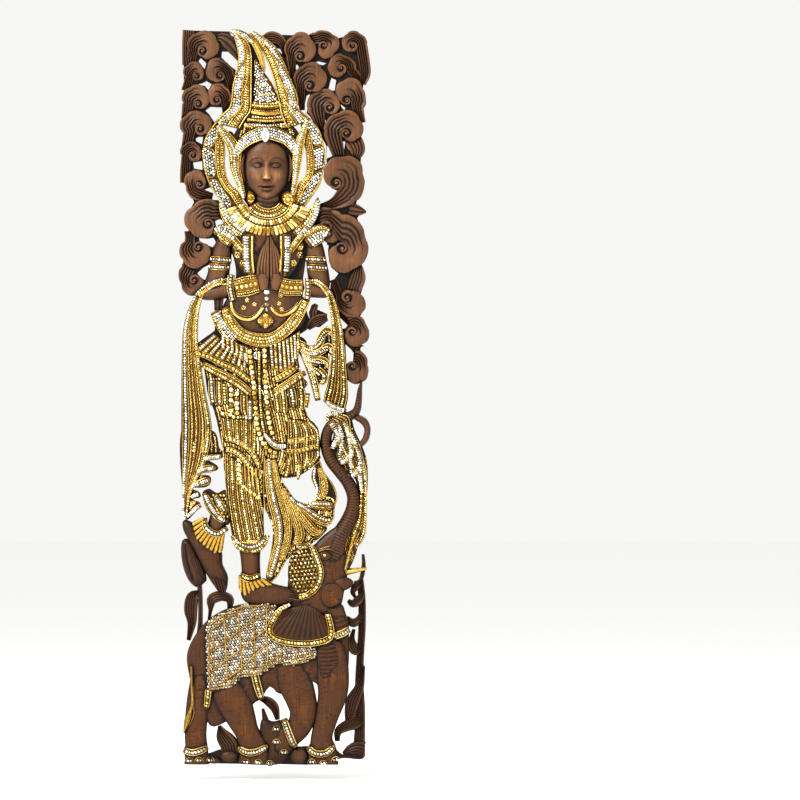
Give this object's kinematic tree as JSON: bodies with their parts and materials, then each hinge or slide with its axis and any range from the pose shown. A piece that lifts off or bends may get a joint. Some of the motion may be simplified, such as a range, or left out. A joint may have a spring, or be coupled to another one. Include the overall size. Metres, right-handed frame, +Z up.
{
  "type": "carved wall panel",
  "caption": "Tall pierced wood relief panel of a dancer with joined hands on a draped elephant, set among cloud scrolls, with mirror-glass inlay and a flat back for wall fixing.",
  "frame": {"origin": "middle of the flat back face, on the wall plane", "axes": "+Z up, +X across the panel, +Y into the wall, so the carving faces -Y"},
  "size_m": [0.3535, 0.048, 1.3746],
  "materials": {
    "teak": "carved teak with a dark wax and gilded relief",
    "gilding": "antique gold leaf with brown wash",
    "mirror_glass": "small chips of mirror glass"
  },
  "bodies": {
    "root": {"carved_board": "teak", "halo_glass_1": "mirror_glass", "halo_glass_2": "mirror_glass", "halo_glass_3": "mirror_glass", "halo_glass_4": "mirror_glass", "halo_glass_5": "mirror_glass", "halo_glass_6": "mirror_glass", "brow_jewel": "mirror_glass"}
  },
  "joints": []
}
